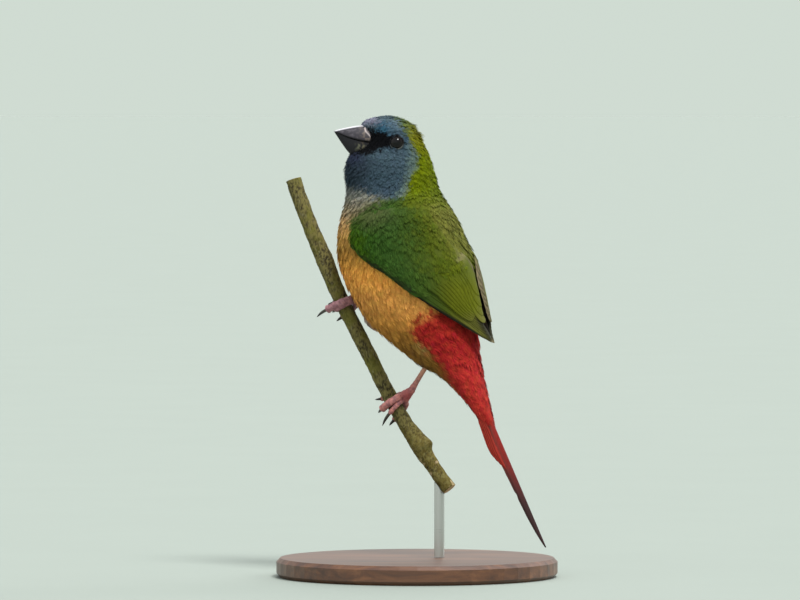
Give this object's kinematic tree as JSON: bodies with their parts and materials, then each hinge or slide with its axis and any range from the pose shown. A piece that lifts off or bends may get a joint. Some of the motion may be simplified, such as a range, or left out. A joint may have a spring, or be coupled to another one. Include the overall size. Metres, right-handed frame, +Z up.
{
  "type": "pin-tailed parrotfinch on a display stand",
  "caption": "Life-size male finch with a long pointed tail, gripping a cut length of branch on a small round display stand.",
  "frame": {"origin": "centre of the stand base's underside, on the floor", "axes": "+Z up; the bird faces -X, its bill slightly towards -Y, and its tail comes towards -Y at +X"},
  "size_m": [0.088, 0.088, 0.1443],
  "materials": {
    "blue_feathers": "soft matt plumage",
    "green_feathers": "soft matt plumage",
    "buff_feathers": "soft matt plumage",
    "red_feathers": "soft matt plumage",
    "bill_horn": "satin horn",
    "eye": "wet gloss",
    "leg_skin": "scaled skin",
    "claw_horn": "satin horn",
    "bark": "rough bark",
    "base_wood": "satin varnish",
    "rod_steel": "brushed"
  },
  "bodies": {
    "root": {"head": "blue_feathers", "neck": "green_feathers", "torso": "buff_feathers", "tail": "red_feathers", "wing_left": "green_feathers", "wing_right": "green_feathers", "bill_upper": "bill_horn", "bill_lower": "bill_horn", "eye_left": "eye", "eye_right": "eye", "leg_left": "leg_skin", "leg_right": "leg_skin", "claw_left_front": "claw_horn", "claw_left_outer": "claw_horn", "claw_left_inner": "claw_horn", "claw_left_hind": "claw_horn", "claw_right_front": "claw_horn", "claw_right_outer": "claw_horn", "claw_right_inner": "claw_horn", "claw_right_hind": "claw_horn", "perch": "bark", "stand_base": "base_wood", "stand_rod": "rod_steel"}
  },
  "joints": []
}
